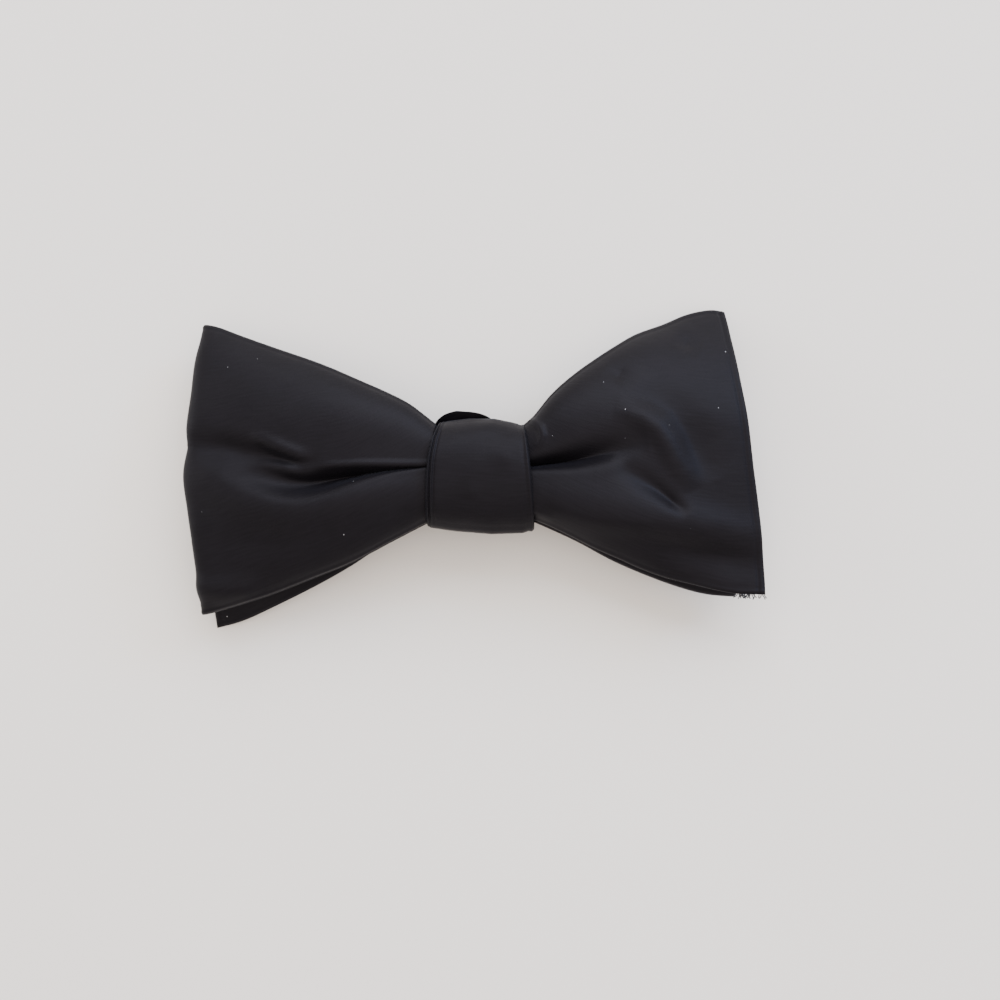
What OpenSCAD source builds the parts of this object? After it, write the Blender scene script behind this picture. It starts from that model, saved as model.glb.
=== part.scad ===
// Pre-tied bow tie, lying face up with its neckband folded away behind the bow.
// +X runs to the right wing, +Y to the top of the bow, +Z out of its face.
// The origin is behind the middle of the knot, on the surface that the bow tie lies on.

/* [Bow] */
// Reach of the left wings from the middle of the knot
left_reach = 58; // [54:0.5:62]
// Reach of the right wings from the middle of the knot
right_reach = 54.2; // [50:0.2:58]
// Half height of the wings at their outer ends
wing_half = 29.5; // [26:0.5:32]
// Half height of the wings where they enter the knot
pinch_half = 10; // [9:0.25:10.25]
// How high the front lobes stand over the pinch
lobe_rise = 3.6; // [2.5:0.1:3.8]
// Thickness of a blade: two satin skins and the interlining
blade_t = 1.2; // [1.1:0.05:1.3]
// Thickness of one satin skin
skin_t = 0.3; // [0.2:0.02:0.34]

/* [Knot] */
// Width of the knot, along the bow
knot_w = 20.6; // [18:0.2:21]
// Height of the knot, top to bottom
knot_h = 22; // [21:0.25:24]
// Thickness of the knot, back to face
knot_depth = 12.4; // [12:0.2:14]
// Radius of the two long edges at the face of the knot
knot_r = 5.2; // [4.6:0.1:5.6]

/* [Neckband] */
// Width of the neckband
band_w = 18; // [14:0.5:19]
// Thickness of the flattened neckband
ply_t = 0.7; // [0.6:0.05:0.8]
// Where the right-hand folds of the neckband lie
fold_right = 48; // [40:1:50]
// How far to the left the other fold lies
fold_left = 31; // [24:1:31]
// Distance from the middle of the knot to the bar of the eye
eye_reach = 46; // [46:0.5:48]
// How much the adjuster lets the neckband out, which is half of the slider's travel
let_out = 40; // [20:1:40]

/* [Hardware] */
// Thickness of the metal strip of the eye
strip_t = 0.9; // [0.8:0.05:1]
// Thickness of the hook's metal strip
hook_t = 0.7; // [0.6:0.05:0.8]
// Thickness of the flat bars of the slider
slider_t = 0.6; // [0.5:0.05:0.6]
// Radius of the round bars that the neckband turns on
bar_r = 0.75; // [0.6:0.05:0.8]

/* [Hidden] */

$fn = 48;
satin = [0.09, 0.09, 0.11];
satin_back = [0.06, 0.06, 0.07];
nickel = [0.78, 0.78, 0.76];
canvas = [0.82, 0.80, 0.75];
thread = [0.12, 0.12, 0.14];

clear = 0.3;     // gap between pieces that move past each other
bar_gap = 0.1;   // running gap between a round bar and the neckband around it
touch = 0.05;    // gap between pieces that only lie on each other
feed_t = 0.3;    // thickness of the layer that feeds out of the last run of the neckband
rest_gap = 0.25; // room between the neckband and the rear blades
cut = 1;         // how far a cutting shape reaches past what it cuts

// Levels of the folded neckband: the underside of each layer, from the surface up.
return_z = 0;
slider_bar_z = return_z + ply_t + touch;
tab_z = slider_bar_z + slider_t + touch;
run_4_z = return_z + 2 * (bar_r + bar_gap) + ply_t;
side_bar_z = max(run_4_z, tab_z + ply_t) + ply_t + clear - touch;
run_3_z = side_bar_z + slider_t + clear;
run_2_z = run_3_z + ply_t + clear;
knot_z = run_2_z + ply_t + clear;
wrap_t = 0.8;
lining_t = 0.3;
centre_z = knot_z + wrap_t + lining_t + touch;

// Levels of the bow: the middle of each blade at the middle of the wing.
layer_gap = 0.7; // gap between one blade and the next
rear_z = centre_z + ply_t + clear + rest_gap + blade_t / 2;
return_blade_z = rear_z + blade_t + layer_gap;
front_z = return_blade_z + blade_t + layer_gap;

// Where the wings leave the knot, and where the hook's bar and the slider's middle bar lie.
hinge_x = knot_w / 2 + 0.5;
hook_x = -fold_left - 2.5;
slider_x = fold_right - 12;

// The metal pieces are slots for the neckband between two cheeks.
cheek = 2;
slot_half = band_w / 2 + 0.5;
frame_half = slot_half + cheek;

/* ---- blades of the bow ---- */

// How far a wing has spread at u, from 0 at the knot to 1 at its outer end.
function spread(u, roundness) = (1 - roundness) * u + roundness * sin(90 * u);

// How far a blade falls at b from its middle, once it is off the neckband.
fall_start = band_w / 2 + 1;
function fall(b, most) = most * pow(max(0, abs(b) - fall_start) / (wing_half - fall_start), 1.4);

// A blade is [side, reach, bulge, half height, rise of its end, slant of its end, roundness].
front_left = [-1, left_reach, 3.2, wing_half, 2.1, -0.7, 0.5];
rear_left = [-1, left_reach - 2, 0.5, wing_half, -1.9, 2, 0.6];
front_right = [1, right_reach, 1, wing_half, 4.9, 7.4, 0.95];
rear_right = [1, right_reach - 3.2, 1.5, wing_half - 2, 1.5, 2, 0.8];

function across(blade, u, v) = v * (pinch_half + (blade[3] - pinch_half) * spread(u, blade[6]));
function along(blade, u, v) =
    hinge_x + u * (blade[1] + blade[2] * (1 - v * v) - hinge_x) - across(blade, u, v) * sin(blade[5]) * u;
function place(blade, u, v, out, z) =
    [blade[0] * (along(blade, u, v) + out), across(blade, u, v) + blade[4] * u, z];

// Height of a blade that lies over the neckband, and of one puffed into two lobes.
function lying_z(blade, u, v, z, most) = z - fall(across(blade, u, v), most) * sin(90 * u);
mid_swell = 2.2;   // how much higher the lobes are halfway along a wing
end_settle = 2.4;  // how much lower they are at its outer end
function crease(u, v) = (0.9 - 0.8 * u) * exp(-pow(v / (0.25 + 0.15 * u), 2));
function lobes(u, v) =
    (lobe_rise + mid_swell * sin(180 * u) - end_settle * u) * (1 - pow(v, 4)) * (1 - crease(u, v));

// An end blade: s runs from the knot, 0, to the cut end, 1.
function end_blade(blade, z, most, puff) = function(s, v)
    place(blade, s, v, 0, lying_z(blade, s, v, z, most) + puff * lobes(s, v));

// A loop blade: s runs out along the face, 0 to 1, round the fold, 1 to 2, and back, 2 to 3.
function loop_blade(blade, z_face, most_face, z_back, most_back, puff) = function(s, v)
    let (u = s < 1 ? s : s > 2 ? 3 - s : 1)
    let (face = lying_z(blade, u, v, z_face, most_face) + puff * lobes(u, v))
    let (back = lying_z(blade, u, v, z_back, most_back))
    let (turn = s < 1 ? 0 : s > 2 ? 180 : 180 * (s - 1))
    let (r = (face - back) / 2)
    place(blade, u, v, r * sin(turn), (face + back) / 2 + r * cos(turn));

function unit(v) = v / norm(v);
function normal_at(mid, s, v, e = 0.01) =
    unit(cross(mid(s + e, v) - mid(s - e, v), mid(s, v + e) - mid(s, v - e)));

// Even steps from low to high, with the first and last drawn in by inset.
function steps(low, high, count, inset) =
    [for (i = [0:count]) low + (high - low) * i / count + (i == 0 ? inset : i == count ? -inset : 0)];

// A closed sheet of the given half thickness about a middle surface.
module sheet(mid, ss, vs, half_t) {
    n = len(ss);
    m = len(vs);
    normals = [for (s = ss, v = vs) normal_at(mid, s, v)];
    middles = [for (s = ss, v = vs) mid(s, v)];
    points = concat(middles + half_t * normals, middles - half_t * normals);
    low = n * m;
    quads = concat(
        [for (i = [0:n - 2], j = [0:m - 2]) [i * m + j, i * m + j + 1, (i + 1) * m + j + 1, (i + 1) * m + j]],
        [for (i = [0:n - 2], j = [0:m - 2])
            [low + i * m + j, low + (i + 1) * m + j, low + (i + 1) * m + j + 1, low + i * m + j + 1]],
        [for (i = [0:n - 2]) [i * m, (i + 1) * m, low + (i + 1) * m, low + i * m]],
        [for (i = [0:n - 2])
            [i * m + m - 1, low + i * m + m - 1, low + (i + 1) * m + m - 1, (i + 1) * m + m - 1]],
        [for (j = [0:m - 2]) [j, low + j, low + j + 1, j + 1]],
        [for (j = [0:m - 2]) [low - m + j, low - m + j + 1, 2 * low - m + j + 1, 2 * low - m + j]]);
    triangles = [for (q = quads) each [[q[0], q[1], q[2]], [q[0], q[2], q[3]]]];
    polyhedron(points, triangles);
}

// The satin of a blade is a thin closed skin, and the interlining fills it. Both stop short of
// the blade's edges, by a share of its length and of its half width.
cross_steps = 10;
module satin_skin(mid, s_end, s_count) {
    difference() {
        sheet(mid, steps(0, s_end, s_count, 0), steps(-1, 1, cross_steps, 0), blade_t / 2);
        sheet(mid, steps(0, s_end, s_count, 0.02), steps(-1, 1, cross_steps, 0.03), blade_t / 2 - skin_t);
    }
}
module interlining(mid, s_end, s_count) {
    sheet(mid, steps(0, s_end, s_count, 0.03), steps(-1, 1, cross_steps, 0.04),
          blade_t / 2 - skin_t - touch);
}

front_left_mid = loop_blade(front_left, front_z, 4.4, return_blade_z, 4.6, 1);
rear_left_mid = end_blade(rear_left, rear_z, 7.4, 0);
front_right_mid = end_blade(front_right, front_z, 6.8, 1);
rear_right_mid = loop_blade(rear_right, return_blade_z, 7.8, rear_z, 7.8, 0);

// Where each kind of blade ends, and in how many steps it is drawn.
loop_end = 3;
loop_steps = 18;
cut_end = 1;
end_steps = 8;
module front_left_loop() { color(satin) satin_skin(front_left_mid, loop_end, loop_steps); }
module front_left_interlining() { color(canvas) interlining(front_left_mid, loop_end, loop_steps); }
module rear_left_end() { color(satin) satin_skin(rear_left_mid, cut_end, end_steps); }
module rear_left_interlining() { color(canvas) interlining(rear_left_mid, cut_end, end_steps); }
module front_right_end() { color(satin) satin_skin(front_right_mid, cut_end, end_steps); }
module front_right_interlining() { color(canvas) interlining(front_right_mid, cut_end, end_steps); }
module rear_right_loop() { color(satin) satin_skin(rear_right_mid, loop_end, loop_steps); }
module rear_right_interlining() { color(canvas) interlining(rear_right_mid, loop_end, loop_steps); }

/* ---- knot ---- */

rear_r = 1.8;    // radius of the knot's long edges at its back
thread_t = 0.3;  // thickness of the thread wound round the pleats
stitch_r = 0.25;
stitch_l = 2.8;

// An outline with Y along its width and Z along its height, with its rear edges at the bottom.
module rounded(w, h, r_rear, r_face) {
    for (i = [-1, 1]) {
        translate([i * (w / 2 - r_rear), r_rear - h / 2]) circle(r_rear);
        translate([i * (w / 2 - r_face), h / 2 - r_face]) circle(r_face);
    }
    translate([r_rear - w / 2, -h / 2]) square([w - 2 * r_rear, r_rear]);
    translate([-w / 2, r_rear - h / 2]) square([w, h - r_rear - r_face]);
    translate([r_face - w / 2, 0]) square([w - 2 * r_face, h / 2]);
}

// A rounded outline of uniform wall.
module ring(w, h, r_rear, r_face, wall) {
    difference() {
        rounded(w, h, r_rear, r_face);
        rounded(w - 2 * wall, h - 2 * wall, r_rear - wall, r_face - wall);
    }
}

// Extrudes an outline drawn in Y and Z along X, centred on the knot.
module along_x(length) {
    rotate([90, 0, 90]) translate([0, 0, -length / 2]) linear_extrude(length) children();
}

module knot_tube(inset, wall, length) {
    translate([0, 0, knot_z + knot_depth / 2]) along_x(length)
        ring(knot_h - 2 * inset, knot_depth - 2 * inset, rear_r - inset, knot_r - inset, wall);
}

// The wrap, and its turned-in end that stands out from the top of the knot.
module knot_wrap() {
    tail_w = 11;
    tail_reach = 1.5;
    tail_t = 3;
    sunk = 0.1;
    color(satin) {
        knot_tube(0, wrap_t, knot_w);
        translate([-knot_w / 2 + 1, knot_h / 2 - sunk, knot_z + knot_r])
            cube([tail_w, tail_reach + sunk, tail_t]);
    }
}

lining_w = knot_w - 5;   // well inside the edges of the wrap, so that it never shows
module knot_lining() { color(canvas) knot_tube(wrap_t, lining_t, lining_w); }

// The row of hand stitches that closes the wrap, along the rear of its lower side.
module knot_seam_stitches() {
    count = 6;
    margin = 2;
    pitch = (knot_w - 2 * margin) / (count - 1);
    color(thread) for (i = [0:count - 1])
        translate([-knot_w / 2 + margin + i * pitch, -knot_h / 2 - stitch_r, knot_z + rear_r])
            cylinder(h = stitch_l, r = stitch_r, $fn = 16);
}

// Thread wound round the pleats under the wrap, as separate turns side by side.
module binding_thread() {
    turns = 5;
    pitch = 0.5;
    bend_rear = 1;
    bend_face = knot_r - 1.4;
    w = 2 * (pleat_half + thread_t + touch);
    h = front_z - rear_z + lobe_rise + blade_t + thread_t;
    bottom = rear_z - blade_t / 2 - thread_t / 2;
    color(thread) for (i = [0:turns - 1]) translate([(i - (turns - 1) / 2) * pitch, 0, bottom + h / 2])
        along_x(thread_t) ring(w, h, bend_rear, bend_face, thread_t);
}

// Cross-section of a pleated blade inside the knot, with the given rise of its two lobes.
module pleat_profile(half, thickness, rise) {
    parts = 16;
    vs = [for (i = [0:parts]) 2 * i / parts - 1];
    function top(v) = rise * (1 - pow(v, 4)) * (1 - crease(0, v));
    polygon(concat([for (v = vs) [v * half, top(v) + thickness]],
                   [for (i = [parts:-1:0]) [vs[i] * half, top(vs[i])]]));
}

// The wound thread sits in a waist, so the pleats are drawn in behind it.
pleat_half = pinch_half - 1;
front_pleat_lift = 0.6;   // above the layer behind
rear_pleat_lift = 0.25;   // above the thread
rear_pleat_t = 2.3 * blade_t;
rear_pleat_rise = 0.3;
rear_pleat_half = pleat_half - 0.4;   // inside the rounded rear corners of the thread
module front_centre_pleats() {
    color(satin) translate([0, 0, return_blade_z + blade_t / 2 + front_pleat_lift])
        along_x(knot_w) pleat_profile(pleat_half, blade_t, lobe_rise - 0.2);
}
module rear_centre_pleats() {
    color(satin_back) translate([0, 0, rear_z - blade_t / 2 + rear_pleat_lift])
        along_x(knot_w) pleat_profile(rear_pleat_half, rear_pleat_t, rear_pleat_rise);
}

/* ---- neckband ---- */

module run(x_low, x_high, z) {
    color(satin) translate([x_low, -band_w / 2, z]) cube([x_high - x_low, band_w, ply_t]);
}

// A half turn of the neckband that joins the runs at two levels; side is 1 for a turn to the right.
module half_turn(x, z_low, z_high, side, width = band_w) {
    outer = (z_high + ply_t - z_low) / 2;
    inner = (z_high - z_low - ply_t) / 2;
    color(satin) translate([x, width / 2, (z_low + z_high + ply_t) / 2]) rotate([90, 0, 0])
        linear_extrude(width) intersection() {
            difference() {
                circle(outer);
                circle(inner);
            }
            translate([side > 0 ? 0 : -2 * outer, -2 * outer]) square([2 * outer, 4 * outer]);
        }
}

module neckband_centre_run() { run(-eye_reach, fold_right, centre_z); }
module neckband_fold_1() { half_turn(fold_right, run_2_z, centre_z, 1); }
module neckband_run_2() { run(-fold_left, fold_right, run_2_z); }
module neckband_fold_2() { half_turn(-fold_left, run_3_z, run_2_z, -1); }
module neckband_run_3() { run(-fold_left, fold_right, run_3_z); }
module neckband_fold_3() { half_turn(fold_right, run_4_z, run_3_z, 1); }

// The last run has a rebate under it, out of which the adjuster feeds more neckband.
feed_stays_in = 4;
feed_length = let_out + feed_stays_in;
module neckband_run_4() {
    end_gap = 0.5;
    difference() {
        run(hook_x, fold_right, run_4_z);
        color(satin) translate([hook_x - cut, -band_w, run_4_z - cut])
            cube([cut + feed_length + end_gap, 2 * band_w, cut + feed_t + touch]);
    }
}
module hook_end_feed() {
    color(satin) translate([hook_x, -band_w / 2, run_4_z]) cube([feed_length, band_w, feed_t]);
}

// The end of the neckband turns round the bar of the hook and comes back under itself.
module hook_end_loop() { half_turn(hook_x, return_z, run_4_z, -1); }
tab_length = 6;
module adjuster_return_ply() { run(hook_x, slider_x - tab_length, return_z); }

// The short end turns down round the bar of the eye, and is tacked back on itself.
eye_bar_z = centre_z - bar_gap - bar_r;
eye_tail_z = centre_z - 2 * (bar_r + bar_gap) - ply_t;
module eye_end_loop() {
    tail = 9;
    half_turn(-eye_reach, eye_tail_z, centre_z, -1);
    run(-eye_reach, -eye_reach + tail, eye_tail_z);
}

// A row of short stitches across the neckband, between two levels.
module tack_row(x, z_low, z_high) {
    count = 7;
    pitch = 2.2;
    color(thread) for (i = [0:count - 1]) translate([x, (i - (count - 1) / 2) * pitch, z_low])
        cylinder(h = z_high - z_low, r = stitch_r, $fn = 16);
}
tack_from_bar = 4;
module eye_bar_tack() { tack_row(-eye_reach + tack_from_bar, eye_tail_z + ply_t, centre_z); }

/* ---- metal ---- */

// A round bar across the neckband.
module y_bar(x, z, r) {
    translate([x, frame_half, z]) rotate([90, 0, 0]) cylinder(h = 2 * frame_half, r = r);
}

// The two strips beside the neckband, centred on the level z.
module side_strips(x_low, x_high, z, t) {
    for (y = [-frame_half, slot_half]) translate([x_low, y, z - t / 2]) cube([x_high - x_low, cheek, t]);
}

module eye_ring() {
    length = 11;
    color(nickel) {
        y_bar(-eye_reach, eye_bar_z, bar_r);
        side_strips(-eye_reach - length, -eye_reach, eye_bar_z, strip_t);
        translate([-eye_reach - length - cheek, -frame_half, eye_bar_z - strip_t / 2])
            cube([cheek, 2 * frame_half, strip_t]);
    }
}

// The hook: a bar for the neckband, a cross plate, and a tongue bent back over itself.
hook_bar_z = return_z + ply_t + bar_gap + bar_r;
module hook() {
    arm = 4;
    plate = 3;
    tongue_w = 9;
    tongue_l = 4;
    lip = 4;
    gap = strip_t + bar_gap;
    bend_r = gap / 2 + hook_t;
    bend_x = hook_x - arm - plate - tongue_l;
    color(nickel) {
        y_bar(hook_x, hook_bar_z, bar_r);
        side_strips(hook_x - arm, hook_x, hook_bar_z, hook_t);
        translate([hook_x - arm - plate, -frame_half, hook_bar_z - hook_t / 2])
            cube([plate, 2 * frame_half, hook_t]);
        translate([bend_x, -tongue_w / 2, hook_bar_z - hook_t / 2]) cube([tongue_l + 1, tongue_w, hook_t]);
        translate([bend_x, tongue_w / 2, hook_bar_z + (gap + hook_t) / 2]) rotate([90, 0, 0])
            linear_extrude(tongue_w) intersection() {
                difference() {
                    circle(bend_r);
                    circle(gap / 2);
                }
                translate([-2 * bend_r, -2 * bend_r]) square([2 * bend_r, 4 * bend_r]);
            }
        translate([bend_x, -tongue_w / 2, hook_bar_z + hook_t / 2 + gap]) cube([lip, tongue_w, hook_t]);
    }
}

// The slider: the end of the neckband is sewn round its middle bar, and the running layer
// passes over that bar and under the two outer bars.
slider_bar = 2;
module slider_frame() {
    pitch = 5;
    color(nickel) {
        translate([slider_x - slider_bar / 2, -frame_half, slider_bar_z])
            cube([slider_bar, 2 * frame_half, slider_t]);
        for (x = [-pitch, pitch]) translate([slider_x + x - slider_bar / 2, -frame_half, side_bar_z])
            cube([slider_bar, 2 * frame_half, slider_t]);
        for (y = [-frame_half, slot_half]) {
            translate([slider_x - slider_bar / 2, y, slider_bar_z])
                cube([slider_bar, cheek, side_bar_z + slider_t - slider_bar_z]);
            translate([slider_x - pitch, y, side_bar_z]) cube([2 * pitch, cheek, slider_t]);
        }
    }
}

// The sewn end of the neckband round the middle bar of the slider.
module slider_end_tab() {
    near = slider_x + slider_bar / 2 + touch;
    far = slider_x - tab_length;
    color(satin) {
        translate([far, -band_w / 2, return_z]) cube([near + ply_t - far, band_w, ply_t]);
        translate([far - 1, -band_w / 2, tab_z]) cube([near + ply_t - far + 1, band_w, ply_t]);
        translate([near, -band_w / 2, return_z]) cube([ply_t, band_w, tab_z + ply_t - return_z]);
    }
}
module slider_bar_tack() { tack_row(slider_x - tack_from_bar, return_z + ply_t, tab_z); }

knot_wrap();
knot_lining();
knot_seam_stitches();
binding_thread();
front_centre_pleats();
rear_centre_pleats();
front_left_loop();
front_left_interlining();
rear_left_end();
rear_left_interlining();
front_right_end();
front_right_interlining();
rear_right_loop();
rear_right_interlining();
neckband_centre_run();
neckband_fold_1();
neckband_run_2();
neckband_fold_2();
neckband_run_3();
neckband_fold_3();
neckband_run_4();
eye_end_loop();
eye_bar_tack();
eye_ring();
hook_end_loop();
hook_end_feed();
hook();
adjuster_return_ply();
slider_frame();
slider_end_tab();
slider_bar_tack();
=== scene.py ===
"""A black satin pre-tied bow tie, lying face up with its neckband folded away behind it."""
import math

import bpy
import numpy as np
from mathutils import Matrix, Vector


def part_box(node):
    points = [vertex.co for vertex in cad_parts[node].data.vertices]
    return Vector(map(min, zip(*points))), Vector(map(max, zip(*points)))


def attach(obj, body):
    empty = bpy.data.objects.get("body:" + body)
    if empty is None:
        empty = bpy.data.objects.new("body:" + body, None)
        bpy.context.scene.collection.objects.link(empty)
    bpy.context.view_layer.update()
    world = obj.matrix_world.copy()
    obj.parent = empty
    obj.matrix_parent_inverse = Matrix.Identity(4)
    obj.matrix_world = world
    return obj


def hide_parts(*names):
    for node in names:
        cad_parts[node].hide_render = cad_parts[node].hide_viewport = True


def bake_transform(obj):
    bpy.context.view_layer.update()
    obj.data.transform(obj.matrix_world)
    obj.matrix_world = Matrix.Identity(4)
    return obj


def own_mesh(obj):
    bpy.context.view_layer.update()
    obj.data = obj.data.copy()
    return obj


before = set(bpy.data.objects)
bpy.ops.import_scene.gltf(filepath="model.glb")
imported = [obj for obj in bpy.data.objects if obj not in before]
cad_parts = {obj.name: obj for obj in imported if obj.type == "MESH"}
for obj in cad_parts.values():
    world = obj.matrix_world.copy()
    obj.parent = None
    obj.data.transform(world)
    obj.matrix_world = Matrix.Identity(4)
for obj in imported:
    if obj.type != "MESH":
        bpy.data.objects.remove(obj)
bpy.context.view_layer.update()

MM = 0.001


def box_mm(node):
    """Lowest and highest corner of a CAD node, in millimetres."""
    low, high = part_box(node)
    return np.array(low) / MM, np.array(high) / MM


# ---------------------------------------------------------------- camera
PICTURE = 1000          # width of the picture
FOCAL = 1207.0          # focal length in the same units
SENSOR = 36
EYE = Vector((13.641, -25.946, 255.789)) * MM
DOWN = Vector((47, 100, FOCAL)).normalized()   # straight down, in the camera's axes: right, down, ahead


def frame_axes():
    """X, Y and Z of the shared frame in the camera's axes, as the rows of a matrix."""
    x = Vector((1, 0, 0))
    x = (x - x.dot(DOWN) * DOWN).normalized()
    y = DOWN.cross(x)
    return Matrix((x, -y, -DOWN))


data = bpy.data.cameras.new("camera")
data.sensor_width = SENSOR
data.lens = FOCAL * SENSOR / PICTURE
data.clip_start = 0.01
data.clip_end = 20
camera = bpy.data.objects.new("camera", data)
bpy.context.scene.collection.objects.link(camera)
right, down, ahead = (frame_axes() @ Vector(a) for a in ((1, 0, 0), (0, 1, 0), (0, 0, 1)))
camera.matrix_world = Matrix.Translation(EYE) @ Matrix((right, -down, -ahead)).transposed().to_4x4()
bpy.context.scene.camera = camera


# ---------------------------------------------------------------- materials
def nodes_of(name):
    """A new material: itself, its nodes, its links and its shader."""
    m = bpy.data.materials.new(name)
    m.use_nodes = True
    tree = m.node_tree
    return m, tree.nodes, tree.links, tree.nodes["Principled BSDF"]


def object_place(n):
    """Where a point of the surface lies on its object."""
    return n.new("ShaderNodeTexCoord").outputs["Object"]


def noise(n, l, at, scale, detail=2):
    texture = n.new("ShaderNodeTexNoise")
    texture.inputs["Scale"].default_value = scale
    texture.inputs["Detail"].default_value = detail
    l.new(at, texture.inputs["Vector"])
    return texture.outputs["Fac"]


def maths(n, l, operation, *values):
    """The result of a sum; each value is a socket or a number."""
    node = n.new("ShaderNodeMath")
    node.operation = operation
    for socket, value in zip(node.inputs, values):
        if isinstance(value, (int, float)):
            socket.default_value = value
        else:
            l.new(value, socket)
    return node.outputs[0]


def mapped(n, l, value, low, high, from_low=0, from_high=1):
    """value brought from one range to the range from low to high."""
    node = n.new("ShaderNodeMapRange")
    node.inputs["From Min"].default_value = from_low
    node.inputs["From Max"].default_value = from_high
    node.inputs["To Min"].default_value = low
    node.inputs["To Max"].default_value = high
    l.new(value, node.inputs["Value"])
    return node.outputs["Result"]


def two_tones(n, l, first, second, share):
    """A colour from first to second by share; first is a colour or a socket."""
    node = n.new("ShaderNodeMix")
    node.data_type = "RGBA"
    if isinstance(first, tuple):
        node.inputs[6].default_value = (*first, 1)
    else:
        l.new(first, node.inputs[6])
    node.inputs[7].default_value = (*second, 1)
    l.new(share, node.inputs[0])
    return node.outputs[2]


def bump(n, l, height, strength, distance, under=None):
    """A bump of the surface, on top of the one under it."""
    node = n.new("ShaderNodeBump")
    node.inputs["Strength"].default_value = strength
    node.inputs["Distance"].default_value = distance
    l.new(height, node.inputs["Height"])
    if under is not None:
        l.new(under, node.inputs["Normal"])
    return node.outputs["Normal"]


def add_lint(n, l, place, colour, share):
    """Pale specks of fluff on the cloth, in this share of the cells of a fine pattern."""
    cells = n.new("ShaderNodeTexVoronoi")
    cells.inputs["Scale"].default_value = 480
    cells.inputs["Randomness"].default_value = 1
    l.new(place, cells.inputs["Vector"])
    chance = n.new("ShaderNodeSeparateColor")
    l.new(cells.outputs["Color"], chance.inputs[0])
    radius = mapped(n, l, chance.outputs[1], 0.02, 0.065)
    speck = maths(n, l, "LESS_THAN", cells.outputs["Distance"], radius)
    chosen = maths(n, l, "LESS_THAN", chance.outputs[0], share)
    return two_tones(n, l, colour, (0.32, 0.32, 0.33), maths(n, l, "MULTIPLY", speck, chosen))


def satin(name, dark, light, rough, lint=0.0, weave=0.10, pucker=0.25):
    """Satin: a soft gloss, a fine weave and slight puckers; lint is how much fluff lies on it."""
    m, n, l, s = nodes_of(name)
    uv = n.new("ShaderNodeUVMap")
    uv.uv_map = "cloth"
    place = object_place(n)
    # colour: two near blacks, mixed in soft patches and along the threads
    stretch = n.new("ShaderNodeMapping")
    stretch.inputs["Scale"].default_value = (0.10, 1, 1)
    l.new(uv.outputs["UV"], stretch.inputs["Vector"])
    threads = noise(n, l, stretch.outputs["Vector"], 2400, 3)
    patches = maths(n, l, "SUBTRACT", noise(n, l, place, 90, 4), 0.8)
    colour = two_tones(n, l, dark, light, maths(n, l, "MULTIPLY_ADD", threads, 1.6, patches))
    if lint:
        colour = add_lint(n, l, place, colour, lint)
    l.new(colour, s.inputs["Base Color"])
    # the gloss varies a little, as where the satin has been handled
    handled = noise(n, l, place, 45, 3)
    l.new(mapped(n, l, handled, rough - 0.04, rough + 0.05, 0.3, 0.7), s.inputs["Roughness"])
    s.inputs["Specular IOR Level"].default_value = 0.11
    s.inputs["Specular Tint"].default_value = (0.97, 0.92, 1.0, 1)
    s.inputs["Sheen Weight"].default_value = 0.04
    s.inputs["Sheen Roughness"].default_value = 0.35
    s.inputs["Sheen Tint"].default_value = (0.72, 0.78, 1.0, 1)
    # the weave: fine steep twill lines, the threads along the cloth, and soft puckers
    twill = n.new("ShaderNodeTexWave")
    twill.bands_direction = "DIAGONAL"
    twill.inputs["Scale"].default_value = 900
    twill.inputs["Distortion"].default_value = 1.2
    twill.inputs["Detail"].default_value = 2
    twill.inputs["Detail Scale"].default_value = 3
    l.new(uv.outputs["UV"], twill.inputs["Vector"])
    normal = bump(n, l, twill.outputs["Fac"], weave, 0.00004)
    normal = bump(n, l, threads, weave * 4.5, 0.00006, normal)
    normal = bump(n, l, noise(n, l, place, 210, 3), pucker, 0.00022, normal)
    l.new(normal, s.inputs["Normal"])
    return m


def plain(name, dark, light, rough, metallic=0.0, scale=600, bump_strength=0.3, bump_mm=0.02):
    """Metal, thread or canvas: a noise tone, varied gloss and a little relief."""
    m, n, l, s = nodes_of(name)
    grain = noise(n, l, object_place(n), scale, 5)
    l.new(two_tones(n, l, dark, light, grain), s.inputs["Base Color"])
    l.new(mapped(n, l, grain, rough - 0.08, rough + 0.1), s.inputs["Roughness"])
    s.inputs["Metallic"].default_value = metallic
    l.new(bump(n, l, grain, bump_strength, bump_mm * MM), s.inputs["Normal"])
    return m


BLACKS = (0.0032, 0.0027, 0.0036), (0.0058, 0.0050, 0.0065)
SATIN = satin("black_satin", *BLACKS, 0.50, lint=0.22)
SATIN_KNOT = satin("black_satin_knot", *BLACKS, 0.50, lint=0.03)
SATIN_BAND = satin("black_satin_neckband", *BLACKS, 0.52, pucker=0.15)
CANVAS = plain("canvas_interlining", (0.55, 0.53, 0.47), (0.72, 0.70, 0.64), 0.85,
               scale=1400, bump_strength=0.5)
THREAD = plain("black_thread", (0.006, 0.006, 0.007), (0.022, 0.021, 0.024), 0.75,
               scale=2500, bump_strength=0.6)
NICKEL = plain("nickel_plate", (0.60, 0.575, 0.53), (0.72, 0.70, 0.66), 0.26, metallic=1.0,
               scale=420, bump_strength=0.05, bump_mm=0.005)


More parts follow.
